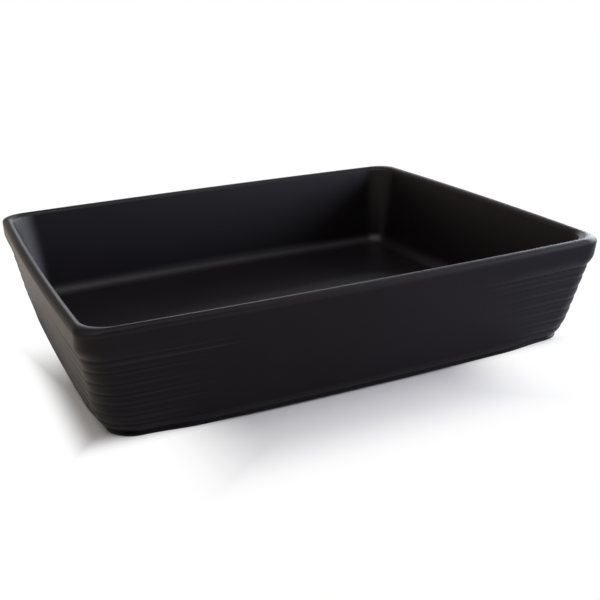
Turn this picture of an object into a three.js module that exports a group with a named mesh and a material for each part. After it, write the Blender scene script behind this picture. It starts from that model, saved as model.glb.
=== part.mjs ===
// Rectangular stoneware roasting dish with stepped corners.
// Millimetres, +Z up. The origin is on the table, under the middle of the dish.
import * as THREE from 'three';

// Overall size, over the rim and from the table to the crest of the lip.
const dishLength = 350;
const dishWidth = 295;
const dishHeight = 73;

// Walls. They lean in towards the table and bow outwards a little in plan.
const wallLean = 12;
const wallBowRadius = 3600;
const rimCornerRadius = 13;
const baseCornerRadius = 26;
const rimThickness = 7;

// Stepped corners: a plain rim band that curls in, then stacked courses with rounded shoulders, parted by
// shallow notches. The courses get a little lower towards the foot, where they tuck in, and the notches
// fade out along the walls.
const bandPlainHeight = 8.5;
const bandCurlHeight = 6.5;
const bandProud = 1.5;
const courseCount = 7;
const courseGrading = 0.08;
const notchDepth = 0.6;
const shoulderHeight = 2.2;
const courseCurlHeight = 2.8;
const notchReachAtBand = 88;
const notchReachAtFoot = 36;
const cornerTuckDepth = 2.4;
const cornerTuckHeight = 15;

// Foot, with the clay left bare at its rounded edge, and the underside.
const footFaceHeight = 0.7;
const footShoulderHeight = 1.8;
const footSetback = 1.3;
const footNotchDepth = 0.3;
const footCurlHeight = 4;
const footCornerRadius = 20;
const footCornerRelief = 3;
const footEdgeRadius = 0.8;
const bareFootMargin = 0.4;
const footRingWidth = 10;
const undersideRecess = 1.2;
const recessSlopeWidth = 2;

// Inside.
const floorThickness = 6.5;
const floorCornerRadius = 4;
const insideFilletRadius = 12;
const insideRimCornerRadius = 20;

// Glaze coats, and the gap that parts them from the clay and from each other.
const glazeThickness = 0.8;
const fitGap = 0.3;

// Facets round the outline and over the curved stretches of the section.
const cornerSteps = 8;
const wallSteps = 6;
const wallCrowding = 1.6;
const lipSteps = 4;
const filletSteps = 5;
const shoulderSteps = 2;
const curlSteps = 4;

// Derived sizes.
const lipRadius = rimThickness / 2;
const lipCentreHeight = dishHeight - lipRadius;
const leanAngle = Math.atan(wallLean / lipCentreHeight);
const lipLead = lipRadius / Math.cos(leanAngle) - lipRadius;
const bandFoot = lipCentreHeight - lipRadius * Math.sin(leanAngle) - bandPlainHeight - bandCurlHeight;
const glazeLineHeight = footEdgeRadius + bareFootMargin;
const footTop = glazeLineHeight + footFaceHeight + footShoulderHeight;
const clayDepth = glazeThickness + fitGap;

// Share of the way down from the middle of the lip to the table.
function dropAt(height) {
  return (lipCentreHeight - height) / lipCentreHeight;
}

// How far the plain outer wall has drawn in from the rim outline at a height.
function leanAt(height) {
  return wallLean * dropAt(height) - lipLead;
}

// Inset, from the rim outline, of a line parallel to the leaning outer wall at a depth into the clay.
function parallelInset(height, depth) {
  return leanAt(height) + depth / Math.cos(leanAngle);
}

// Corner radius of the outer wall at a height, or of a line at an inset behind it.
function outerCorner(height, inset) {
  return THREE.MathUtils.lerp(rimCornerRadius, baseCornerRadius, dropAt(height)) - (inset - leanAt(height));
}

// Corner radius of the foot, or of a line at an inset behind it.
function footCorner(height, inset) {
  return footCornerRadius - (inset - leanAt(height) - footSetback);
}

// One quarter of a plan outline at an inset from the rim: two bowed walls joined by a corner arc.
// Gives points with their outward directions and their distance from the corner arc.
function quarterOutline(inset, corner) {
  // The corner arc touches both wall arcs from inside, so its centre is one reach from each wall centre.
  const bow = wallBowRadius - inset;
  const endCentre = new THREE.Vector2(dishLength / 2 - inset - bow, 0);
  const sideCentre = new THREE.Vector2(0, dishWidth / 2 - inset - bow);
  const reach = bow - corner;
  const middle = endCentre.clone().lerp(sideCentre, 0.5);
  const rise = Math.sqrt(reach ** 2 - middle.distanceToSquared(endCentre));
  const across = sideCentre.clone().sub(endCentre).normalize();
  const cornerCentre = new THREE.Vector2(-across.y, across.x).multiplyScalar(rise).add(middle);
  const endAngle = cornerCentre.clone().sub(endCentre).angle();
  const sideAngle = cornerCentre.clone().sub(sideCentre).angle();

  const points = [];
  const addPoint = (centre, radius, angle, fromCorner) => {
    const outward = new THREE.Vector2(Math.cos(angle), Math.sin(angle));
    const place = centre.clone().addScaledVector(outward, radius);
    points.push({ place, outward, fromCorner });
  };
  const wallShare = (step) => (1 - step / wallSteps) ** wallCrowding;
  for (let step = 0; step < wallSteps; step++) {
    const swing = endAngle * wallShare(step);
    addPoint(endCentre, bow, endAngle - swing, swing * bow);
  }
  for (let step = 0; step <= cornerSteps; step++) {
    const angle = THREE.MathUtils.lerp(endAngle, sideAngle, step / cornerSteps);
    addPoint(cornerCentre, corner, angle, 0);
  }
  for (let step = wallSteps - 1; step >= 0; step--) {
    const swing = (Math.PI / 2 - sideAngle) * wallShare(step);
    addPoint(sideCentre, bow, sideAngle + swing, swing * bow);
  }
  return points;
}

// The whole outline, mirrored from one quarter, anticlockwise seen from above.
function wholeOutline(inset, corner) {
  const quarter = quarterOutline(inset, corner);
  const mirrored = (signX, signY) => {
    const sign = new THREE.Vector2(signX, signY);
    const points = quarter.map(({ place, outward, fromCorner }) => ({
      place: place.clone().multiply(sign),
      outward: outward.clone().multiply(sign),
      fromCorner,
    }));
    return signX === signY ? points : points.reverse();
  };
  const quarters = [mirrored(1, 1), mirrored(-1, 1), mirrored(-1, -1), mirrored(1, -1)];
  return quarters.flatMap((points) => points.slice(0, -1));
}

// Share of the corner relief at a distance from the corner arc: all of it at the corner, none mid-wall.
function reliefShare(fromCorner, height) {
  const drop = THREE.MathUtils.clamp((bandFoot - height) / (bandFoot - footTop), 0, 1);
  const reach = THREE.MathUtils.lerp(notchReachAtBand, notchReachAtFoot, drop);
  return 1 - THREE.MathUtils.smoothstep(fromCorner, 0, reach);
}

// A ring of points at a height and an inset from the rim, drawn in further at the corners by the relief.
function ring({ inset, height, corner, relief = 0 }) {
  return wholeOutline(inset, corner).map(({ place, outward, fromCorner }) => {
    const point = place.addScaledVector(outward, -relief * reliefShare(fromCorner, height));
    return new THREE.Vector3(point.x, point.y, height);
  });
}

// Section rows round the lip between two angles, at a depth below its face. 0 points outwards, 90 up.
// The lip is thicker at the corners, where its inner edge is rounder than its outer edge.
function lipRows(depth, fromAngle, toAngle) {
  const centreInset = parallelInset(lipCentreHeight, lipRadius);
  const radius = lipRadius - depth;
  const rows = [];
  for (let step = 0; step <= lipSteps; step++) {
    const angle = THREE.MathUtils.lerp(fromAngle, toAngle, step / lipSteps);
    const inward = (1 - Math.cos(angle)) / 2;
    rows.push({
      inset: centreInset - radius * Math.cos(angle),
      height: lipCentreHeight + radius * Math.sin(angle),
      corner: THREE.MathUtils.lerp(rimCornerRadius - depth, insideRimCornerRadius + depth, inward),
    });
  }
  return rows;
}

// Section rows from the floor up the inside to the crest of the lip, at a depth below the glazed face.
function insideRows(depth, crestAngle) {
  const radius = insideFilletRadius + depth;
  const centreHeight = floorThickness + insideFilletRadius;
  const centreInset = parallelInset(centreHeight, rimThickness + insideFilletRadius);
  const rows = [];
  for (let step = 0; step <= filletSteps; step++) {
    const angle = THREE.MathUtils.lerp(Math.PI / 2, leanAngle, step / filletSteps);
    rows.push({
      inset: centreInset - radius * Math.cos(angle),
      height: centreHeight - radius * Math.sin(angle),
      corner: floorCornerRadius + radius * Math.cos(angle),
    });
  }
  return rows.concat(lipRows(depth, Math.PI - leanAngle, crestAngle));
}

// Height of the top of a course, counted from 0 under the band. The last count is the top of the foot.
function courseTop(course) {
  const share = course / courseCount;
  return bandFoot - (bandFoot - footTop) * share * (1 + courseGrading * (1 - share));
}

// Share of a curl at a height above the foot: none at its top, growing to all of it at the foot.
function curlShare(height, curlHeight) {
  return Math.max(0, 1 - (height - footTop) / curlHeight) ** 2;
}

// Section rows of the outer wall below the lip: the curl of the band, the courses, then the foot.
// A rounded wall follows its curls, and a plain one cuts them short from the clay side.
function wallRows(depth, isRounded) {
  const rows = [];
  const addRow = (height, notch) => {
    const setback = (footSetback + footNotchDepth) * curlShare(height, footCurlHeight);
    const inset = parallelInset(height, depth) + setback;
    const relief = notch + cornerTuckDepth * curlShare(height, cornerTuckHeight);
    rows.push({ inset, height, corner: outerCorner(height, inset), relief });
  };
  const curlRows = isRounded ? curlSteps : 1;
  for (let step = 0; step < curlRows; step++) {
    const share = step / curlRows;
    const height = bandFoot + bandCurlHeight * (1 - share);
    addRow(height, THREE.MathUtils.lerp(-bandProud, notchDepth, share ** 2));
  }
  const shoulderRows = isRounded ? shoulderSteps : 1;
  for (let course = 0; course < courseCount; course++) {
    for (let step = 0; step <= shoulderRows; step++) {
      const share = step / shoulderRows;
      addRow(courseTop(course) - shoulderHeight * share, notchDepth * (1 - share) ** 2);
    }
    addRow(courseTop(course + 1) + courseCurlHeight, 0);
  }
  addRow(footTop, notchDepth);
  for (const height of [footTop - footShoulderHeight, glazeLineHeight]) {
    const inset = parallelInset(height, depth) + footSetback;
    rows.push({ inset, height, corner: footCorner(height, inset), relief: footCornerRelief });
  }
  return rows;
}

// Section rows of the outside, from the crest of the lip down to the glaze line.
function outsideRows(depth, crestAngle, isRounded) {
  return lipRows(depth, crestAngle, -leanAngle).concat(wallRows(depth, isRounded));
}

// Section rows of the bare foot ring and the recessed underside, from the foot's edge inwards.
function undersideRows() {
  const footInset = parallelInset(glazeLineHeight, clayDepth) + footSetback;
  const edgeCut = footEdgeRadius * (1 - Math.SQRT1_2);
  const ringInset = footInset + footRingWidth;
  const section = [
    [footInset, footEdgeRadius],
    [footInset + edgeCut, edgeCut],
    [footInset + footEdgeRadius, 0],
    [ringInset, 0],
    [ringInset + recessSlopeWidth, undersideRecess],
  ];
  return section.map(([inset, height]) => ({
    inset,
    height,
    corner: footCorner(height, inset),
    relief: footCornerRelief,
  }));
}

// Skins the section rows into one closed body. A section that closes on itself makes a hoop,
// and one that runs from middle to middle makes a dish with a fan at both ends.
function loft(rows, isHoop) {
  const rings = rows.map(ring);
  const columns = rings[0].length;
  const positions = rings.flat().flatMap((point) => point.toArray());
  const triangles = [];
  const strips = isHoop ? rings.length : rings.length - 1;
  for (let row = 0; row < strips; row++) {
    const nextRow = (row + 1) % rings.length;
    const here = row * columns;
    const onward = nextRow * columns;
    const goesDown = rows[row].height > rows[nextRow].height;
    for (let column = 0; column < columns; column++) {
      const next = (column + 1) % columns;
      // Faces that run side by side are split along the same diagonal, whichever way their rows go.
      if (goesDown) {
        triangles.push(here + column, onward + column, onward + next);
        triangles.push(here + column, onward + next, here + next);
      } else {
        triangles.push(here + column, onward + column, here + next);
        triangles.push(onward + column, onward + next, here + next);
      }
    }
  }
  if (!isHoop) {
    const start = rings.length * columns;
    const end = start + 1;
    const last = start - columns;
    positions.push(0, 0, rows[0].height, 0, 0, rows[rows.length - 1].height);
    for (let column = 0; column < columns; column++) {
      const next = (column + 1) % columns;
      triangles.push(start, column, next);
      triangles.push(last + column, end, last + next);
    }
  }
  const geometry = new THREE.BufferGeometry();
  geometry.setAttribute('position', new THREE.Float32BufferAttribute(positions, 3));
  geometry.setIndex(triangles);
  geometry.computeVertexNormals();
  return geometry;
}

// A named piece with its own matt or satin finish.
function makePiece(name, geometry, color, roughness) {
  const material = new THREE.MeshStandardMaterial({ color, roughness, metalness: 0 });
  const piece = new THREE.Mesh(geometry, material);
  piece.name = name;
  return piece;
}

// The two glaze coats stop short of each other at the crest of the lip.
const crest = Math.PI / 2;
const seamAngle = fitGap / 2 / (lipRadius - glazeThickness);

// Fired clay: inside face, lip, outside face, foot ring and underside.
const clayRows = [
  ...insideRows(clayDepth, crest),
  ...outsideRows(clayDepth, crest, false).slice(1),
  ...undersideRows(),
];

// Coat on the floor and inside walls, with its back to the clay.
const insideGlazeRows = [
  ...insideRows(0, crest + seamAngle),
  ...insideRows(glazeThickness, crest + seamAngle).reverse(),
];

// Coat on the outside, from the lip to the glaze line of the foot.
const outsideGlazeRows = [
  ...outsideRows(0, crest - seamAngle, true),
  ...outsideRows(glazeThickness, crest - seamAngle, false).reverse(),
];

const dish = new THREE.Group();
dish.add(makePiece('stoneware_body', loft(clayRows, false), 0x3a332d, 0.85));
dish.add(makePiece('inside_glaze', loft(insideGlazeRows, false), 0x17171a, 0.42));
dish.add(makePiece('outside_glaze', loft(outsideGlazeRows, true), 0x19181a, 0.48));

export default dish;
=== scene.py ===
"""Satin black stoneware roasting dish with stepped corners, on a pale studio floor.

The dish is one pressing of clay with a coat of glaze inside and another outside. Each of the three is
lofted here from the sizes that the part's own source uses, with more facets and softer edges.
"""

import logging
import math
from dataclasses import dataclass, field
from enum import Enum
from typing import NamedTuple

import bpy
import numpy as np
from mathutils import Matrix, Vector


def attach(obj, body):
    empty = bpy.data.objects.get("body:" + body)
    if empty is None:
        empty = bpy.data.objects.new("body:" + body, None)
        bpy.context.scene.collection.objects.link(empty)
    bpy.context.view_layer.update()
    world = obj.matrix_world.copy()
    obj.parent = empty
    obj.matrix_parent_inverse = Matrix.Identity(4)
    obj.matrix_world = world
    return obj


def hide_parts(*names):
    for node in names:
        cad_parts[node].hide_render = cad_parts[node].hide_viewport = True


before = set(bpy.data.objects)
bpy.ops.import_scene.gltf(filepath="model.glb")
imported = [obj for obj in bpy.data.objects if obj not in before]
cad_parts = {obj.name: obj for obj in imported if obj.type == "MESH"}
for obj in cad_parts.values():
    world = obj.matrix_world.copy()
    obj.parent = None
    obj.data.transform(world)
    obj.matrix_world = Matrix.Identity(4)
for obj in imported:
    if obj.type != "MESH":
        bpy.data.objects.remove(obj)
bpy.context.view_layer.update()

LOG = logging.getLogger("roasting_dish")
MM = 0.001
THIN_GLAZE_AND_HIGHLIGHT = "glaze_thinness_and_highlight"
SHORTEST_EDGE = 1e-9
Colour = tuple[float, float, float]
Point = tuple[float, float, float]
Span = tuple[float, float]


class Row(NamedTuple):
    """One level of a piece's section, in metres."""

    inset: float
    height: float
    corner: float
    relief: float = 0.0


class Piece(Enum):
    """The pieces of the dish, named for the CAD nodes that they stand for."""

    CLAY = "stoneware_body"
    INSIDE = "inside_glaze"
    OUTSIDE = "outside_glaze"


class Blend(Enum):
    """Kinds of Mix node: Blender's data type, then the numbers of the two inputs and of the output."""

    VALUE = ("FLOAT", 2, 3, 0)
    COLOUR = ("RGBA", 6, 7, 2)


def smoothstep(value: np.ndarray) -> np.ndarray:
    """Gives the smooth ramp from 0 to 1 of values clipped to that range."""
    share = np.clip(value, 0.0, 1.0)
    return share * share * (3.0 - 2.0 * share)


def mix(start: float, end: float, share: float | np.ndarray) -> float | np.ndarray:
    """Gives the value a share of the way from start to end."""
    return start + (end - start) * share


def read_values(
    source: bpy.types.bpy_prop_collection, name: str, width: int, kind: type = float
) -> np.ndarray:
    """Reads one property of every item of a mesh.

    Args:
        source: The mesh's vertices, edges or attribute values.
        name: The property.
        width: How many numbers each item has.
        kind: Type of the numbers.

    Returns:
        An array with one row for each item.
    """
    values = np.empty(len(source) * width, dtype=kind)
    source.foreach_get(name, values)
    return values.reshape(-1, width)


@dataclass(frozen=True)
class DishShape:
    """Sizes of the dish in metres, and the curves that follow from them."""

    length: float = 350 * MM
    width: float = 295 * MM
    height: float = 73 * MM
    wall_lean: float = 12 * MM
    wall_bow_radius: float = 3600 * MM
    rim_corner_radius: float = 13 * MM
    base_corner_radius: float = 26 * MM
    rim_thickness: float = 7 * MM
    band_plain_height: float = 8.5 * MM
    band_curl_height: float = 6.5 * MM
    band_proud: float = 1.5 * MM
    course_count: int = 7
    course_grading: float = 0.08
    notch_depth: float = 0.6 * MM
    shoulder_height: float = 2.2 * MM
    course_curl_height: float = 2.8 * MM
    notch_reach_at_band: float = 88 * MM
    notch_reach_at_foot: float = 36 * MM
    corner_tuck_depth: float = 2.4 * MM
    corner_tuck_height: float = 15 * MM
    foot_face_height: float = 0.7 * MM
    foot_shoulder_height: float = 1.8 * MM
    foot_setback: float = 1.3 * MM
    foot_notch_depth: float = 0.3 * MM
    foot_curl_height: float = 4 * MM
    foot_corner_radius: float = 20 * MM
    foot_corner_relief: float = 3 * MM
    foot_edge_radius: float = 0.8 * MM
    bare_foot_margin: float = 0.4 * MM
    foot_ring_width: float = 10 * MM
    underside_recess: float = 1.2 * MM
    recess_slope_width: float = 2 * MM
    floor_thickness: float = 6.5 * MM
    floor_corner_radius: float = 4 * MM
    inside_fillet_radius: float = 12 * MM
    inside_rim_corner_radius: float = 20 * MM
    glaze_thickness: float = 0.8 * MM
    fit_gap: float = 0.3 * MM
    edge_softness: float = 0.3 * MM
    # The rest sets only how finely the skins are meshed and softened.
    corner_steps: int = 22
    wall_steps: int = 26
    wall_crowding: float = 1.6
    lip_steps: int = 18
    fillet_steps: int = 14
    underside_edge_steps: int = 6
    wall_levels: int = 60
    course_levels: int = 17
    band_curl_knots: int = 14
    shoulder_knots: int = 9
    course_curl_knots: int = 5
    softening_step: float = 0.05 * MM
    softening_reach: float = 4.0

    @property
    def lip_radius(self) -> float:
        """Radius of the rounded lip."""
        return self.rim_thickness / 2

    @property
    def lip_centre_height(self) -> float:
        """Height of the middle of the rounded lip."""
        return self.height - self.lip_radius

    @property
    def lean_angle(self) -> float:
        """Lean of the walls from upright, in radians."""
        return math.atan(self.wall_lean / self.lip_centre_height)

    @property
    def lip_foot(self) -> float:
        """Height at which the rounded lip runs out into the outer wall."""
        return self.lip_centre_height - self.lip_radius * math.sin(self.lean_angle)

    @property
    def band_foot(self) -> float:
        """Height of the lower edge of the plain rim band."""
        return self.lip_foot - self.band_plain_height - self.band_curl_height

    @property
    def glaze_line(self) -> float:
        """Height above the table at which the outside glaze stops."""
        return self.foot_edge_radius + self.bare_foot_margin

    @property
    def foot_top(self) -> float:
        """Height of the notch above the foot."""
        return self.glaze_line + self.foot_face_height + self.foot_shoulder_height

    @property
    def clay_depth(self) -> float:
        """Depth of the clay below the glazed faces."""
        return self.glaze_thickness + self.fit_gap

    def drop_at(self, height: float) -> float:
        """Gives the share of the way down from the middle of the lip to the table."""
        return (self.lip_centre_height - height) / self.lip_centre_height

    def lean_at(self, height: float) -> float:
        """Gives how far the plain outer wall has drawn in from the rim at a height."""
        lip_lead = self.lip_radius / math.cos(self.lean_angle) - self.lip_radius
        return self.wall_lean * self.drop_at(height) - lip_lead

    def parallel_inset(self, height: float, depth: float) -> float:
        """Gives the inset of a line at a depth into the clay, parallel to the outer wall."""
        return self.lean_at(height) + depth / math.cos(self.lean_angle)

    def outer_corner(self, height: float, inset: float) -> float:
        """Gives the corner radius of the outer wall at a height, or of a line at an inset behind it."""
        radius = mix(self.rim_corner_radius, self.base_corner_radius, self.drop_at(height))
        return radius - (inset - self.lean_at(height))

    def foot_corner(self, height: float, inset: float) -> float:
        """Gives the corner radius of the foot, or of a line at an inset behind it."""
        return self.foot_corner_radius - (inset - self.lean_at(height) - self.foot_setback)

    def curl_share(self, height: float, curl_height: float) -> float:
        """Gives the share of a curl at a height: none at its top, growing to all of it at the foot."""
        return max(0.0, 1 - (height - self.foot_top) / curl_height) ** 2

    def course_top(self, course: int) -> float:
        """Gives the height of the top of a course.

        Args:
            course: Number of the course, counted from 0 under the band.

        Returns:
            The height.
        """
        share = course / self.course_count
        graded = share * (1 + self.course_grading * (1 - share))
        return self.band_foot - (self.band_foot - self.foot_top) * graded

    def outline(self, inset: float, corner: float) -> tuple[np.ndarray, np.ndarray, np.ndarray]:
        """Lays out a plan outline, anticlockwise seen from above.

        Args:
            inset: How far the walls stand in from the rim.
            corner: Radius of the corners.

        Returns:
            Points, their outward directions and their distances from the corner arcs.
        """
        bow = self.wall_bow_radius - inset
        end_centre = np.array([self.length / 2 - inset - bow, 0.0])
        side_centre = np.array([0.0, self.width / 2 - inset - bow])
        middle = (end_centre + side_centre) / 2
        across = (side_centre - end_centre) / np.linalg.norm(side_centre - end_centre)
        half_span = np.linalg.norm(side_centre - end_centre) / 2
        rise = math.sqrt((bow - corner) ** 2 - half_span**2)
        corner_centre = middle + rise * np.array([-across[1], across[0]])
        end_angle = math.atan2(*(corner_centre - end_centre)[::-1])
        side_angle = math.atan2(*(corner_centre - side_centre)[::-1])

        swing = (1 - np.arange(self.wall_steps) / self.wall_steps) ** self.wall_crowding
        end_swing = end_angle * swing
        side_swing = (math.pi / 2 - side_angle) * swing[::-1]
        arc = np.linspace(end_angle, side_angle, self.corner_steps + 1)
        angles = np.concatenate([end_angle - end_swing, arc, side_angle + side_swing])
        from_corner = np.concatenate([end_swing * bow, 0 * arc, side_swing * bow])
        outward = np.stack([np.cos(angles), np.sin(angles)], axis=1)
        counts = [len(end_swing), len(arc), len(side_swing)]
        centres = np.repeat([end_centre, corner_centre, side_centre], counts, axis=0)
        radii = np.repeat([bow, corner, bow], counts)
        points = centres + outward * radii[:, None]

        def whole(quarter: np.ndarray) -> np.ndarray:
            """Mirrors one quarter into the whole outline."""
            turns = [quarter, (quarter * [-1, 1])[::-1], quarter * [-1, -1], (quarter * [1, -1])[::-1]]
            return np.concatenate([turn[:-1] for turn in turns])

        distances = whole(np.stack([from_corner, from_corner], axis=1))
        return whole(points), whole(outward), np.abs(distances[:, 0])

    def ring(self, row: Row) -> np.ndarray:
        """Lays out one level of a section, drawn in at the corners by its relief.

        Args:
            row: The level.

        Returns:
            Points round the dish.
        """
        points, outward, from_corner = self.outline(row.inset, row.corner)
        drop = np.clip((self.band_foot - row.height) / (self.band_foot - self.foot_top), 0.0, 1.0)
        reach = mix(self.notch_reach_at_band, self.notch_reach_at_foot, drop)
        share = 1.0 - smoothstep(from_corner / reach)
        plan = points - outward * (row.relief * share)[:, None]
        return np.column_stack([plan, np.full(len(plan), row.height)])

    def lip_rows(self, depth: float, from_angle: float, to_angle: float) -> list[Row]:
        """Lists section rows round the lip.

        Args:
            depth: Depth below the face of the lip.
            from_angle: First angle in radians, where 0 points outwards and a quarter turn points up.
            to_angle: Last angle.

        Returns:
            Rows in order.
        """
        centre_inset = self.parallel_inset(self.lip_centre_height, self.lip_radius)
        radius = self.lip_radius - depth
        rows = []
        for angle in np.linspace(from_angle, to_angle, self.lip_steps + 1):
            inward = (1 - math.cos(angle)) / 2
            corner = mix(self.rim_corner_radius - depth, self.inside_rim_corner_radius + depth, inward)
            inset = centre_inset - radius * math.cos(angle)
            rows.append(Row(inset, self.lip_centre_height + radius * math.sin(angle), corner))
        return rows

    def inside_rows(self, depth: float) -> list[Row]:
        """Lists section rows from the floor up the inside to the crest of the lip.

        Args:
            depth: Depth below the glazed face.

        Returns:
            Rows in order.
        """
        radius = self.inside_fillet_radius + depth
        centre_height = self.floor_thickness + self.inside_fillet_radius
        centre_inset = self.parallel_inset(centre_height, self.rim_thickness + self.inside_fillet_radius)
        rows = []
        for angle in np.linspace(math.pi / 2, self.lean_angle, self.fillet_steps + 1):
            corner = self.floor_corner_radius + radius * math.cos(angle)
            inset = centre_inset - radius * math.cos(angle)
            rows.append(Row(inset, centre_height - radius * math.sin(angle), corner))
        return rows + self.lip_rows(depth, math.pi - self.lean_angle, math.pi / 2)

    def section_knots(self) -> np.ndarray:
        """Lists the outer section below the lip, from the top down.

        Returns:
            Rows of height, relief at the corners and setback all round.
        """
        knots = [(self.lip_centre_height, 0.0, 0.0)]
        foot_curl = self.foot_setback + self.foot_notch_depth

        def add(height: float, notch: float) -> None:
            """Adds a knot of the wall, with the curl that draws it in above the foot.

            Args:
                height: Height of the knot.
                notch: How deep the ledge is there.
            """
            tuck = self.corner_tuck_depth * self.curl_share(height, self.corner_tuck_height)
            setback = foot_curl * self.curl_share(height, self.foot_curl_height)
            knots.append((height, notch + tuck, setback))

        for share in np.linspace(0, 1, self.band_curl_knots)[:-1]:
            height = self.band_foot + self.band_curl_height * (1 - share)
            add(height, mix(-self.band_proud, self.notch_depth, share**2))
        for course in range(self.course_count):
            for share in np.linspace(0, 1, self.shoulder_knots):
                height = self.course_top(course) - self.shoulder_height * share
                add(height, self.notch_depth * (1 - share) ** 2)
            for share in np.linspace(1, 0, self.course_curl_knots)[:-1]:
                height = self.course_top(course + 1) + self.course_curl_height * share
                add(height, self.notch_depth * (1 - share) ** 2)
        add(self.foot_top, self.notch_depth)
        for height in (self.foot_top - self.foot_shoulder_height, 0.0):
            knots.append((height, self.foot_corner_relief, self.foot_setback))
        return np.array(knots)

    def softened_section(self) -> tuple[np.ndarray, np.ndarray, np.ndarray]:
        """Rounds the edges of the outer section with a bell-shaped average.

        Returns:
            Heights from the table up, with the relief and the setback at each.
        """
        knots = self.section_knots()[::-1]
        step = self.softening_step
        heights = np.arange(0.0, self.lip_centre_height, step)
        half = int(self.softening_reach * self.edge_softness / step)
        kernel = np.exp(-0.5 * (np.arange(-half, half + 1) * step / self.edge_softness) ** 2)
        kernel /= kernel.sum()
        soft = []
        for column in (1, 2):
            values = np.interp(heights, knots[:, 0], knots[:, column])
            padded = np.pad(values, half, mode="edge")
            soft.append(np.convolve(padded, kernel, mode="valid"))
        return heights, soft[0], soft[1]

    def wall_rows(self, depth: float) -> list[Row]:
        """Lists section rows of the outer wall below the lip, with its edges softened.

        Args:
            depth: Depth below the glazed face. A face at no depth has rows crowded round each notch.

        Returns:
            Rows from the lip down to the glaze line.
        """
        heights, reliefs, setbacks = self.softened_section()
        top = self.lip_foot
        levels = list(np.linspace(top, self.glaze_line, self.wall_levels)[1:])
        if depth == 0:
            around = np.linspace(-self.shoulder_height, self.course_curl_height, self.course_levels)
            for course in range(self.course_count + 1):
                levels += list(self.course_top(course) + around)
        on_wall = [level for level in levels if self.glaze_line <= level < top]
        rows = []
        for height in sorted(on_wall, reverse=True):
            relief = float(np.interp(height, heights, reliefs))
            setback = float(np.interp(height, heights, setbacks))
            inset = self.parallel_inset(height, depth) + setback
            foot_share = min(1.0, max(0.0, (self.foot_top - height) / self.foot_shoulder_height))
            corner = mix(self.outer_corner(height, inset), self.foot_corner(height, inset), foot_share)
            rows.append(Row(inset, height, corner, relief))
        return rows

    def outside_rows(self, depth: float) -> list[Row]:
        """Lists section rows from the crest of the lip down to the glaze line, at a depth."""
        return self.lip_rows(depth, math.pi / 2, -self.lean_angle) + self.wall_rows(depth)

    def underside_rows(self) -> list[Row]:
        """Lists section rows of the bare foot ring and the recessed underside.

        Returns:
            Rows from the foot inwards.
        """
        foot_inset = self.parallel_inset(self.glaze_line, self.clay_depth) + self.foot_setback
        ring_inset = foot_inset + self.foot_ring_width
        section = []
        for angle in np.linspace(0, math.pi / 2, self.underside_edge_steps + 1):
            inset = foot_inset + self.foot_edge_radius * (1 - math.cos(angle))
            section.append((inset, self.foot_edge_radius * (1 - math.sin(angle))))
        section.append((ring_inset, 0.0))
        for share in np.linspace(0, 1, self.underside_edge_steps + 1)[1:]:
            rise = float(smoothstep(np.array(share)))
            section.append((ring_inset + self.recess_slope_width * share, self.underside_recess * rise))
        return [
            Row(inset, height, self.foot_corner(height, inset), self.foot_corner_relief)
            for inset, height in section
        ]


@dataclass
class Lofter:
    """Skins section rows into closed meshes."""

    shape: DishShape
    smooth_angle: float = math.radians(40)

    def loft(self, piece: Piece, rows: list[Row], is_hoop: bool) -> bpy.types.Object:
        """Makes a piece from its rows.

        Args:
            piece: The piece to name it for.
            rows: Section rows in order.
            is_hoop: Whether the section closes on itself. Otherwise both ends run to the middle.

        Returns:
            The new object, linked to the scene.
        """
        rings = [self.shape.ring(row) for row in rows]
        columns = len(rings[0])
        points = np.concatenate(rings)
        strips = len(rings) if is_hoop else len(rings) - 1
        here = np.arange(columns)
        onward = (here + 1) % columns
        faces = []
        for strip in range(strips):
            low = strip * columns
            high = (strip + 1) % len(rings) * columns
            faces += np.stack([low + here, high + here, high + onward, low + onward], axis=1).tolist()
        if not is_hoop:
            faces.append(here.tolist())
            faces.append((len(points) - columns + here[::-1]).tolist())
        mesh = bpy.data.meshes.new(f"{piece.value}_skin")
        mesh.from_pydata(points.tolist(), [], faces)
        mesh.update()
        mesh.shade_smooth()
        mesh.set_sharp_from_angle(angle=self.smooth_angle)
        skin = bpy.data.objects.new(f"{piece.value}_skin", mesh)
        bpy.context.scene.collection.objects.link(skin)
        return skin


def new_group(name: str, inputs: dict[str, str], outputs: dict[str, str]) -> bpy.types.NodeTree:
    """Makes an empty shader node group with named sockets.

    Args:
        name: Name of the group.
        inputs: Socket types by input name.
        outputs: Socket types by output name.

    Returns:
        The group's node tree.
    """
    tree = bpy.data.node_groups.new(name, "ShaderNodeTree")
    for direction, sockets in (("INPUT", inputs), ("OUTPUT", outputs)):
        for socket, kind in sockets.items():
            tree.interface.new_socket(name=socket, in_out=direction, socket_type=f"NodeSocket{kind}")
    return tree


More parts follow.
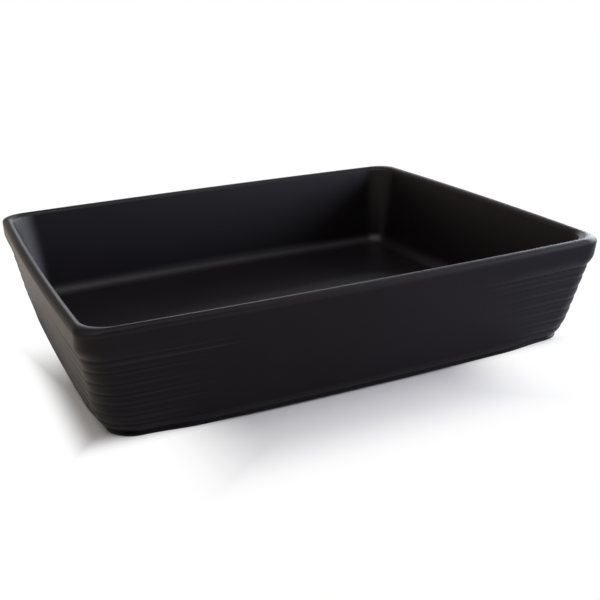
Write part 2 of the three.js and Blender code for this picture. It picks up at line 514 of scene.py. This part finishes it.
@dataclass
class NodeDesk:
    """Adds and joins nodes in one tree."""

    tree: bpy.types.NodeTree

    GIVES_VALUE = ("DOT_PRODUCT", "LENGTH")

    def add(self, kind: str, **settings: object) -> bpy.types.Node:
        """Adds a node and sets its properties, or its inputs where a setting names one.

        Args:
            kind: Blender's name of the node type, without its prefix.
            settings: Properties, or input values by socket name with _ for spaces.

        Returns:
            The new node.
        """
        node = self.tree.nodes.new(f"ShaderNode{kind}" if not kind.startswith("Node") else kind)
        for name, value in settings.items():
            if hasattr(node, name):
                setattr(node, name, value)
            else:
                node.inputs[name.replace("_", " ")].default_value = value
        return node

    def join(self, source: bpy.types.NodeSocket, target: bpy.types.NodeSocket) -> None:
        """Joins an output to an input."""
        self.tree.links.new(source, target)

    def give(self, value: object, target: bpy.types.NodeSocket) -> None:
        """Joins a socket to an input, or sets the input to a plain value.

        Args:
            value: A socket, a number or a row of numbers.
            target: The input.
        """
        if isinstance(value, bpy.types.NodeSocket):
            self.join(value, target)
        else:
            target.default_value = value

    def math(self, operation: str, first: object, second: object) -> bpy.types.NodeSocket:
        """Adds a step of arithmetic on two values, each a socket or a number.

        Args:
            operation: Blender's name of the operation.
            first: First value.
            second: Second value.

        Returns:
            The result's socket.
        """
        node = self.add("Math", operation=operation)
        self.give(first, node.inputs[0])
        self.give(second, node.inputs[1])
        return node.outputs[0]

    def vector(
        self, operation: str, first: object, second: object = (0.0, 0.0, 0.0)
    ) -> bpy.types.NodeSocket:
        """Adds a step of arithmetic on two vectors, each a socket or three numbers.

        Args:
            operation: Blender's name of the operation.
            first: First vector.
            second: Second vector, for operations that have one.

        Returns:
            The result's socket, a value or a vector as the operation gives.
        """
        node = self.add("VectorMath", operation=operation)
        self.give(first, node.inputs[0])
        self.give(second, node.inputs[1])
        return node.outputs["Value" if operation in self.GIVES_VALUE else "Vector"]

    def axes(self, place: bpy.types.NodeSocket) -> bpy.types.NodeOutputs:
        """Adds a split of a vector.

        Args:
            place: The vector.

        Returns:
            Its X, Y and Z sockets by name.
        """
        node = self.add("SeparateXYZ")
        self.join(place, node.inputs[0])
        return node.outputs

    def ramp(self, value: bpy.types.NodeSocket, low: float, high: float) -> bpy.types.NodeSocket:
        """Adds a smooth ramp from 0 to 1.

        Args:
            value: The value to ramp.
            low: Value at which the ramp starts.
            high: Value at which it ends.

        Returns:
            The ramp's socket.
        """
        node = self.add("MapRange", interpolation_type="SMOOTHSTEP", From_Min=low, From_Max=high)
        self.join(value, node.inputs["Value"])
        return node.outputs["Result"]

    def blend(
        self, kind: Blend, share: bpy.types.NodeSocket, start: object, end: object
    ) -> bpy.types.NodeSocket:
        """Adds a blend of two values or colours, each a socket or numbers.

        Args:
            kind: What is blended.
            share: Share of the way from start to end.
            start: What a share of 0 gives.
            end: What a share of 1 gives.

        Returns:
            The blend's socket.
        """
        data_type, start_place, end_place, result_place = kind.value
        node = self.add("Mix", data_type=data_type)
        self.join(share, node.inputs[0])
        self.give(start, node.inputs[start_place])
        self.give(end, node.inputs[end_place])
        return node.outputs[result_place]

    def mix_shader(
        self, share: bpy.types.NodeSocket, start: bpy.types.NodeSocket, end: bpy.types.NodeSocket
    ) -> bpy.types.NodeSocket:
        """Adds a mix of two shaders.

        Args:
            share: Share of the way from start to end.
            start: Shader that a share of 0 gives.
            end: Shader that a share of 1 gives.

        Returns:
            The mix's socket.
        """
        node = self.add("MixShader")
        self.join(share, node.inputs[0])
        self.join(start, node.inputs[1])
        self.join(end, node.inputs[2])
        return node.outputs[0]


class KilnSurface:
    """Group for fired surfaces: cloudy tone, fine specks and pits, shared by the clay and the glazes."""

    NAME = "kiln_surface"
    CLOUD_SPAN = (0.35, 0.65)
    SPECK_SPAN = (0.06, 0.3)
    # The grain itself runs from 0 to 1, so the gloss keeps to the upper half of its range.
    GRAIN_SPAN = (-1.0, 1.0)
    SWELL_SHARE = 0.7
    PIT_SHARE = 0.3
    THIN_MATTING = 0.22

    @classmethod
    def tree(cls) -> bpy.types.NodeTree:
        """Gives the group, made on its first use."""
        return bpy.data.node_groups.get(cls.NAME) or cls.build()

    @classmethod
    def build(cls) -> bpy.types.NodeTree:
        """Makes the group's sockets and nodes.

        Returns:
            The group's node tree.
        """
        inputs = {
            "Tone": "Color",
            "Cloud Tone": "Color",
            "Speck Tone": "Color",
            "Thin Glaze Highlight Tone": "Color",
            "Thinness And Highlight": "Float",
            "Cloud Scale": "Float",
            "Speck Scale": "Float",
            "Speck Amount": "Float",
            "Gloss Low": "Float",
            "Gloss High": "Float",
        }
        tree = new_group(cls.NAME, inputs, {"Tint": "Color", "Roughness": "Float", "Height": "Float"})
        desk = NodeDesk(tree)
        given = desk.add("NodeGroupInput").outputs
        place = desk.add("TexCoord").outputs["Object"]

        cloud = desk.add("TexNoise", noise_dimensions="3D", Detail=4.0, Roughness=0.55)
        desk.join(place, cloud.inputs["Vector"])
        desk.join(given["Cloud Scale"], cloud.inputs["Scale"])
        grain = desk.add("TexNoise", noise_dimensions="3D", Detail=3.0, Roughness=0.6)
        desk.join(place, grain.inputs["Vector"])
        desk.join(given["Speck Scale"], grain.inputs["Scale"])
        speck = desk.add("TexVoronoi", feature="F1")
        desk.join(place, speck.inputs["Vector"])
        desk.join(given["Speck Scale"], speck.inputs["Scale"])

        cloud_share = desk.ramp(cloud.outputs["Fac"], *cls.CLOUD_SPAN)
        speck_gap = desk.ramp(speck.outputs["Distance"], *cls.SPECK_SPAN)
        speck_share = desk.math("MULTIPLY", desk.math("SUBTRACT", 1.0, speck_gap), given["Speck Amount"])
        clouded = desk.blend(Blend.COLOUR, cloud_share, given["Tone"], given["Cloud Tone"])
        speckled = desk.blend(Blend.COLOUR, speck_share, clouded, given["Speck Tone"])
        # Lighter where the glaze runs thin over outward edges; on the ledges and the lip this is partly
        # painted highlight.
        thinned_and_highlighted = desk.blend(Blend.COLOUR, given["Thinness And Highlight"], speckled, given["Thin Glaze Highlight Tone"])

        grain_low, grain_high = cls.GRAIN_SPAN
        gloss = desk.add("MapRange", From_Min=grain_low, From_Max=grain_high)
        desk.join(grain.outputs["Fac"], gloss.inputs["Value"])
        desk.join(given["Gloss Low"], gloss.inputs["To Min"])
        desk.join(given["Gloss High"], gloss.inputs["To Max"])
        matting = desk.math("MULTIPLY", given["Thinness And Highlight"], cls.THIN_MATTING)
        swell = desk.math("MULTIPLY", cloud.outputs["Fac"], cls.SWELL_SHARE)
        pits = desk.math("MULTIPLY", grain.outputs["Fac"], cls.PIT_SHARE)

        given_out = desk.add("NodeGroupOutput").inputs
        desk.join(thinned_and_highlighted, given_out["Tint"])
        desk.join(desk.math("ADD", gloss.outputs["Result"], matting), given_out["Roughness"])
        desk.join(desk.math("ADD", swell, pits), given_out["Height"])
        return tree


@dataclass(frozen=True)
class KilnFinish:
    """A fired finish of clay or glaze."""

    name: str
    slot: str
    tone: Colour
    cloud_tone: Colour
    speck_tone: Colour
    thin_glaze_highlight_tone: Colour
    cloud_scale: float
    speck_scale: float
    speck_amount: float
    gloss: Span
    bump: float
    bump_reach: float
    reflectance: float

    def material(self) -> bpy.types.Material:
        """Makes the material.

        Returns:
            A material with the shared kiln surface, a bump and one shader.
        """
        material = bpy.data.materials.new(self.name)
        material.use_nodes = True
        desk = NodeDesk(material.node_tree)
        shader = material.node_tree.nodes["Principled BSDF"]
        shader.inputs["Specular IOR Level"].default_value = self.reflectance
        surface = desk.add("Group", node_tree=KilnSurface.tree())
        thin = desk.add("Attribute", attribute_name=THIN_GLAZE_AND_HIGHLIGHT)
        for socket, tone in (
            ("Tone", self.tone),
            ("Cloud Tone", self.cloud_tone),
            ("Speck Tone", self.speck_tone),
            ("Thin Glaze Highlight Tone", self.thin_glaze_highlight_tone),
        ):
            surface.inputs[socket].default_value = (*tone, 1.0)
        for socket, value in (
            ("Cloud Scale", self.cloud_scale),
            ("Speck Scale", self.speck_scale),
            ("Speck Amount", self.speck_amount),
            ("Gloss Low", self.gloss[0]),
            ("Gloss High", self.gloss[1]),
        ):
            surface.inputs[socket].default_value = value
        desk.join(thin.outputs["Fac"], surface.inputs["Thinness And Highlight"])
        bump = desk.add("Bump", Strength=self.bump, Distance=self.bump_reach)
        desk.join(surface.outputs["Height"], bump.inputs["Height"])
        desk.join(surface.outputs["Tint"], shader.inputs["Base Color"])
        desk.join(surface.outputs["Roughness"], shader.inputs["Roughness"])
        desk.join(bump.outputs["Normal"], shader.inputs["Normal"])
        return material


# The inside glaze's tones are darker than the outside glaze's, as painted shade inside the dish.
INSIDE_FINISH = KilnFinish(
    name="inside_satin_glaze_shaded",
    slot="inside_glaze",
    tone=(0.0032, 0.0019, 0.0032),
    cloud_tone=(0.0041, 0.0026, 0.0041),
    speck_tone=(0.0065, 0.0050, 0.0072),
    thin_glaze_highlight_tone=(0.018, 0.0165, 0.016),
    cloud_scale=22.0,
    speck_scale=900.0,
    speck_amount=0.5,
    gloss=(0.31, 0.41),
    bump=0.12,
    bump_reach=0.4 * MM,
    reflectance=0.27,
)
OUTSIDE_FINISH = KilnFinish(
    name="outside_satin_glaze",
    slot="outside_glaze",
    tone=(0.0050, 0.0031, 0.0050),
    cloud_tone=(0.0062, 0.0041, 0.0061),
    speck_tone=(0.010, 0.0085, 0.010),
    thin_glaze_highlight_tone=(0.02, 0.018, 0.0175),
    cloud_scale=18.0,
    speck_scale=900.0,
    speck_amount=0.6,
    gloss=(0.31, 0.4),
    bump=0.14,
    bump_reach=0.4 * MM,
    reflectance=0.125,
)
CLAY_FINISH = KilnFinish(
    name="bare_fired_clay",
    slot="fired_clay",
    tone=(0.045, 0.036, 0.03),
    cloud_tone=(0.06, 0.047, 0.038),
    speck_tone=(0.1, 0.085, 0.07),
    thin_glaze_highlight_tone=(0.045, 0.036, 0.03),
    cloud_scale=30.0,
    speck_scale=700.0,
    speck_amount=0.7,
    gloss=(0.78, 0.92),
    bump=0.35,
    bump_reach=0.5 * MM,
    reflectance=0.3,
)


@dataclass
class RoastingDish:
    """The dish: one clay body with an inside and an outside coat of glaze."""

    shape: DishShape = field(default_factory=DishShape)
    thin_and_highlight_edge_curve: float = 0.6

    def build(self) -> list[bpy.types.Object]:
        """Returns:
            The pieces.
        """
        shape = self.shape
        lofter = Lofter(shape)
        face = shape.inside_rows(0.0)
        back = shape.inside_rows(shape.glaze_thickness)[::-1]
        inside = lofter.loft(Piece.INSIDE, face + back, is_hoop=False)
        face = shape.outside_rows(0.0)
        back = shape.outside_rows(shape.glaze_thickness)[::-1]
        outside = lofter.loft(Piece.OUTSIDE, face + back, is_hoop=True)
        rows = shape.inside_rows(shape.clay_depth) + shape.outside_rows(shape.clay_depth)[1:]
        clay = lofter.loft(Piece.CLAY, rows + shape.underside_rows(), is_hoop=False)
        self.dress(clay, Piece.CLAY, CLAY_FINISH)
        self.dress(inside, Piece.INSIDE, INSIDE_FINISH)
        self.dress(outside, Piece.OUTSIDE, OUTSIDE_FINISH)
        return [clay, inside, outside]

    def dress(self, skin: bpy.types.Object, piece: Piece, finish: KilnFinish) -> None:
        """Gives a piece its finish, hangs it under the root and hides the CAD node that it stands for.

        Args:
            skin: The piece.
            piece: The CAD node that it stands for.
            finish: Its finish.
        """
        self.mark_thin_and_highlighted_edges(skin)
        skin.data.materials.append(finish.material())
        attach(skin, "root")
        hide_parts(piece.value)

    def mark_thin_and_highlighted_edges(self, skin: bpy.types.Object) -> None:
        """Stores where glaze runs thin over outward edges, from how sharply the faces turn there; the
        lighter tone it gives is partly painted highlight on the ledges and the lip.

        The sharp ends of a coat, at the crest and at the foot, take the value of the face beside them.

        Args:
            skin: The piece to mark.
        """
        mesh = skin.data
        count = len(mesh.vertices)
        points = read_values(mesh.vertices, "co", 3)
        normals = read_values(mesh.vertices, "normal", 3)
        first, second = read_values(mesh.edges, "vertices", 2, np.int64).T
        is_sharp = read_values(mesh.attributes["sharp_edge"].data, "value", 1, bool)[:, 0]
        at_end = np.zeros(count, dtype=bool)
        at_end[first[is_sharp]] = True
        at_end[second[is_sharp]] = True

        run = points[second] - points[first]
        reach = np.maximum(np.linalg.norm(run, axis=1), SHORTEST_EDGE)
        bend = ((normals[second] - normals[first]) * run).sum(axis=1) / reach**2 * MM
        bend[at_end[first] | at_end[second]] = 0.0
        sharpest = np.zeros(count)
        np.maximum.at(sharpest, first, bend)
        np.maximum.at(sharpest, second, bend)
        beside = sharpest.copy()
        np.maximum.at(sharpest, first, np.where(at_end[first], beside[second], 0.0))
        np.maximum.at(sharpest, second, np.where(at_end[second], beside[first], 0.0))
        store = mesh.attributes.new(THIN_GLAZE_AND_HIGHLIGHT, "FLOAT", "POINT")
        store.data.foreach_set("value", smoothstep(sharpest / self.thin_and_highlight_edge_curve))


@dataclass(frozen=True)
class SoftLamp:
    """A soft oblong lamp aimed at a point."""

    name: str
    place: Point
    aim: Point
    size: Span
    power: float
    colour: Colour

    def build(self) -> bpy.types.Object:
        """Makes the lamp.

        Returns:
            The new lamp.
        """
        data = bpy.data.lights.new(self.name, "AREA")
        data.shape = "RECTANGLE"
        data.size, data.size_y = self.size
        data.energy = self.power
        data.color = self.colour
        lamp = bpy.data.objects.new(self.name, data)
        aim = Vector(self.aim) - Vector(self.place)
        lamp.location = self.place
        lamp.rotation_mode = "QUATERNION"
        lamp.rotation_quaternion = aim.to_track_quat("-Z", "Y")
        lamp.visible_camera = False
        bpy.context.scene.collection.objects.link(lamp)
        return lamp


@dataclass
class Studio:
    """Pale floor, white surroundings and soft lamps."""

    floor_reach: float = 4.0
    floor_colour: Colour = (0.7, 0.7, 0.7)
    floor_roughness: float = 0.9
    floor_reflectance: float = 0.1
    # The floor keeps its shadow in a block under the dish and goes to white over these spans round it.
    shadow_middle: Point = (-0.012, 0.0, 0.0)
    shadow_half_size: Point = (0.138, 0.122, 0.0)
    shadow_squeeze: Point = (2.8, 1.0, 1.0)
    shadow_reach: Span = (0.04, 0.095)
    mirrored_reach: Span = (0.04, 0.2)
    shadow_ends: Span = (0.06, 0.125)
    shadow_edge: Span = (0.115, 0.14)
    shadow_sides: Span = (0.12, 0.15)
    shadow_back: Span = (-0.05, 0.05)
    # Tints and levels of the surroundings as the dish mirrors them.
    warm_side: Colour = (1.0, 0.87, 0.76)
    cool_side: Colour = (0.84, 0.88, 1.0)
    floor_tint_reach: float = 0.3
    surround_tint_reach: float = 0.7
    horizon_level: float = 0.7
    high_share: float = 0.3
    high_spread: Span = (0.12, 0.5)
    viewer_share: float = 0.03
    viewer_side: Point = (-0.17, -0.985, 0.0)
    viewer_spread: Span = (0.2, 0.65)
    lamps: tuple[SoftLamp, ...] = (
        SoftLamp(
            name="top_lamp",
            place=(-0.35, -0.45, 1.5),
            aim=(0.0, 0.0, 0.0),
            size=(1.8, 1.5),
            power=15.0,
            colour=(1.0, 0.97, 0.93),
        ),
        SoftLamp(
            name="window_lamp",
            place=(1.598, 0.282, 0.655),
            aim=(0.0, 0.0, 0.03),
            size=(2.0, 0.94),
            power=62.0,
            colour=(0.86, 0.9, 1.0),
        ),
        SoftLamp(
            name="back_lamp",
            place=(0.669, 1.502, 0.599),
            aim=(0.0, 0.0, 0.05),
            size=(0.95, 0.8),
            power=4.2,
            colour=(0.97, 0.96, 1.0),
        ),
        SoftLamp(
            name="side_lamp",
            place=(1.376, -0.928, 0.45),
            aim=(0.0, 0.0, 0.05),
            size=(0.95, 0.75),
            power=14.5,
            colour=(0.74, 0.77, 1.0),
        ),
        SoftLamp(
            name="room_lamp",
            place=(0.917, -1.411, 0.237),
            aim=(0.0, 0.0, 0.05),
            size=(0.5, 0.4),
            power=1.4,
            colour=(0.66, 0.72, 1.0),
        ),
    )

    def build(self) -> None:
        """Makes the floor, the surroundings and the lamps."""
        self.build_floor()
        self.build_surround()
        for lamp in self.lamps:
            lamp.build()

    def build_floor(self) -> None:
        """Makes the floor, which shows white to the camera outside the dish's own shadow."""
        reach = self.floor_reach
        corners = [(x * reach, y * reach, 0.0) for x, y in ((-1, -1), (1, -1), (1, 1), (-1, 1))]
        mesh = bpy.data.meshes.new("studio_floor")
        mesh.from_pydata(corners, [], [(0, 1, 2, 3)])
        mesh.materials.append(self.floor_material())
        floor = bpy.data.objects.new("studio_floor", mesh)
        bpy.context.scene.collection.objects.link(floor)

    def floor_material(self) -> bpy.types.Material:
        """Makes the floor's finish: pale and matt, with its shadow, going to white away from the dish.

        Returns:
            The material. Only camera rays and mirrored rays see the white.
        """
        material = bpy.data.materials.new("pale_floor")
        material.use_nodes = True
        desk = NodeDesk(material.node_tree)
        shader = material.node_tree.nodes["Principled BSDF"]
        shader.inputs["Base Color"].default_value = (*self.floor_colour, 1.0)
        shader.inputs["Roughness"].default_value = self.floor_roughness
        shader.inputs["Specular IOR Level"].default_value = self.floor_reflectance
        path = desk.add("LightPath").outputs
        mirrored = desk.math("MAXIMUM", path["Is Glossy Ray"], path["Is Transmission Ray"])
        seen = desk.math("MAXIMUM", path["Is Camera Ray"], mirrored)
        place = desk.add("TexCoord").outputs["Object"]
        away = self.away_from_dish(desk, place, path["Is Camera Ray"])
        white = desk.add("Emission", Strength=1.0)
        desk.join(self.seen_tint(desk, place, self.floor_tint_reach), white.inputs["Color"])
        faded = desk.mix_shader(away, shader.outputs[0], white.outputs[0])
        shown = desk.mix_shader(seen, shader.outputs[0], faded)
        desk.join(shown, material.node_tree.nodes["Material Output"].inputs["Surface"])
        return material

    def away_from_dish(
        self, desk: NodeDesk, place: bpy.types.NodeSocket, camera: bpy.types.NodeSocket
    ) -> bpy.types.NodeSocket:
        """Adds how far a place on the floor is out of the dish's shadow, from 0 to 1.

        Args:
            desk: Desk of the floor's tree.
            place: The place on the floor.
            camera: Whether the camera sees it, which fades it sooner than a mirrored ray does.

        Returns:
            The share's socket.
        """
        sides = desk.vector("ABSOLUTE", desk.vector("SUBTRACT", place, self.shadow_middle))
        outside = desk.vector("MAXIMUM", desk.vector("SUBTRACT", sides, self.shadow_half_size))
        distance = desk.vector("LENGTH", desk.vector("MULTIPLY", outside, self.shadow_squeeze))
        across = desk.axes(sides)
        past_ends = desk.ramp(across["X"], *self.shadow_ends)
        in_front = desk.ramp(across["Y"], *self.shadow_edge)
        beside = desk.ramp(across["X"], *self.shadow_sides)
        behind = desk.ramp(desk.axes(place)["Y"], *self.shadow_back)
        off_corners = desk.math("MULTIPLY", past_ends, in_front)
        off_sides = desk.math("MULTIPLY", beside, behind)
        clear = desk.math("MAXIMUM", off_corners, off_sides)
        seen_away = desk.math("MAXIMUM", desk.ramp(distance, *self.shadow_reach), clear)
        mirrored_away = desk.ramp(distance, *self.mirrored_reach)
        return desk.blend(Blend.VALUE, camera, mirrored_away, seen_away)

    def build_surround(self) -> None:
        """Makes the surroundings: white to the camera, dimmer to the dish above and by the viewer."""
        world = bpy.data.worlds.new("white_studio")
        world.use_nodes = True
        bpy.context.scene.world = world
        desk = NodeDesk(world.node_tree)
        background = world.node_tree.nodes["Background"]
        direction = desk.add("TexCoord").outputs["Generated"]
        viewer = desk.ramp(desk.vector("DOT_PRODUCT", direction, self.viewer_side), *self.viewer_spread)
        high = desk.ramp(desk.axes(direction)["Z"], *self.high_spread)
        fall = desk.math("MULTIPLY", high, self.high_share - self.horizon_level)
        high_level = desk.math("ADD", fall, self.horizon_level)
        dimming = desk.math("MULTIPLY", viewer, self.viewer_share - 1.0)
        level = desk.math("MULTIPLY", high_level, desk.math("ADD", dimming, 1.0))
        camera = desk.add("LightPath").outputs["Is Camera Ray"]
        tint = self.seen_tint(desk, direction, self.surround_tint_reach)
        desk.join(tint, background.inputs["Color"])
        desk.join(desk.math("MAXIMUM", level, camera), background.inputs["Strength"])

    def seen_tint(
        self, desk: NodeDesk, place: bpy.types.NodeSocket, reach: float
    ) -> bpy.types.NodeSocket:
        """Adds the tint of the studio's light: warm on the left, cool on the right, white to the camera.

        Args:
            desk: Desk of the tree to add it to.
            place: Place or direction to tint by.
            reach: How far across, to either side, the tint goes from warm to cool.

        Returns:
            The tint's socket.
        """
        across = desk.ramp(desk.axes(place)["X"], -reach, reach)
        side = desk.blend(Blend.COLOUR, across, (*self.warm_side, 1.0), (*self.cool_side, 1.0))
        camera = desk.add("LightPath").outputs["Is Camera Ray"]
        return desk.blend(Blend.COLOUR, camera, side, (1.0, 1.0, 1.0, 1.0))


@dataclass(frozen=True)
class PhotoCamera:
    """Camera at the photograph's viewing angle. Lengths are in metres and angles in degrees."""

    target: Point = (-2.552 * MM, -42.878 * MM, 29.616 * MM)
    distance: float = 633.18 * MM
    azimuth: float = -23.913
    elevation: float = 19.789
    roll: float = -2.234
    focal_pixels: float = 917.007
    image_width: float = 600.0
    sensor_width: float = 36.0
    near_clip: float = 0.01

    def build(self) -> bpy.types.Object:
        """Makes the camera and makes it the scene's own.

        Returns:
            The camera.
        """
        data = bpy.data.cameras.new("photo_camera")
        data.sensor_width = self.sensor_width
        data.lens = self.focal_pixels * self.sensor_width / self.image_width
        data.clip_start = self.near_clip
        camera = bpy.data.objects.new("photo_camera", data)
        turn, lift, roll = (math.radians(angle) for angle in (self.azimuth, self.elevation, self.roll))
        level = math.cos(lift)
        back = Vector((math.sin(turn) * level, -math.cos(turn) * level, math.sin(lift)))
        right = Vector((0.0, 0.0, 1.0)).cross(back).normalized()
        up = back.cross(right)
        rolled_right = right * math.cos(roll) + up * math.sin(roll)
        rolled_up = up * math.cos(roll) - right * math.sin(roll)
        axes = Matrix((rolled_right, rolled_up, back)).transposed()
        place = Vector(self.target) + back * self.distance
        camera.matrix_world = Matrix.Translation(place) @ axes.to_4x4()
        bpy.context.scene.collection.objects.link(camera)
        bpy.context.scene.camera = camera
        return camera


def main() -> None:
    """Builds the camera, the dish and the studio, and reports each piece."""
    logging.basicConfig(level=logging.INFO, format="%(name)s: %(message)s")
    bpy.context.scene.view_settings.view_transform = "Standard"
    PhotoCamera().build()
    for skin in RoastingDish().build():
        LOG.info("%s: %d faces", skin.name, len(skin.data.polygons))
    Studio().build()


if __name__ == "__main__":
    main()
